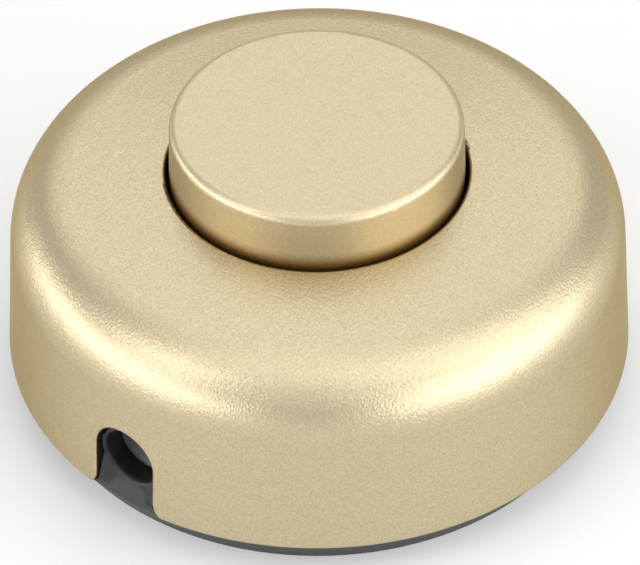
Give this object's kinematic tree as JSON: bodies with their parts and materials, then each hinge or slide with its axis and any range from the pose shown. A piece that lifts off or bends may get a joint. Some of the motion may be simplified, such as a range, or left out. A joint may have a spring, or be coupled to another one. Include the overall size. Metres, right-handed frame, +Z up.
{
  "type": "inline foot switch",
  "caption": "Round floor-standing push switch for a lamp cord: satin gold domed cover with a large raised button, dark base and a cord entry on each side.",
  "frame": {"origin": "middle of the circle that the base stands on, on the floor", "axes": "+Z up along the button's travel, X along the cord: it comes in at -X and leaves at +X"},
  "size_m": [0.0614, 0.062, 0.0303],
  "materials": {
    "gold_lacquer": "moulded ABS with a satin gold lacquer",
    "black_plastic": "fine matt moulded ABS",
    "insulating_plastic": "matt moulded polyamide",
    "grey_plastic": "matt moulded polyamide",
    "acetal": "smooth moulded acetal",
    "plated_steel": "zinc plated",
    "spring_steel": "drawn and rolled",
    "phosphor_bronze": "rolled strip",
    "brass": "drawn and machined",
    "silver": "headed wire"
  },
  "bodies": {
    "housing": {"cover": "gold_lacquer", "base": "black_plastic", "housing_screws": "plated_steel", "cord_bushing_in": "black_plastic", "cord_bushing_out": "black_plastic", "contact_carrier": "insulating_plastic", "carrier_screws": "plated_steel", "drum_axle": "plated_steel", "bearing_cap": "insulating_plastic", "return_spring": "spring_steel", "detent_spring": "spring_steel", "line_in_contact": "phosphor_bronze", "line_out_contact": "phosphor_bronze", "contact_rivets": "silver", "line_in_terminal": "brass", "line_out_terminal": "brass", "neutral_connector": "brass", "terminal_screws": "plated_steel", "cord_clamp_in": "grey_plastic", "cord_clamp_out": "grey_plastic", "clamp_screws": "plated_steel"},
    "button": {"push_button": "gold_lacquer", "drive_pawl": "spring_steel"},
    "drum": {"ratchet_drum": "acetal", "contact_star": "brass"}
  },
  "joints": [
    {"name": "button_press", "type": "slide", "parent": "housing", "child": "button", "axis": [0, 0, -1], "range_m": [0, 0.004], "stiffness_N_per_m": 1630, "springref_m": -0.003, "deforming": ["return_spring"]},
    {"name": "drum_step", "type": "hinge", "parent": "housing", "child": "drum", "pos_m": [0, 0, 0.0112], "axis": [0, 1, 0], "range_deg": [0, 45], "deforming": ["detent_spring"]}
  ],
  "couplings": [
    {"joint": "drum_step", "follows": "button_press", "rad_per_m": 196.35}
  ]
}
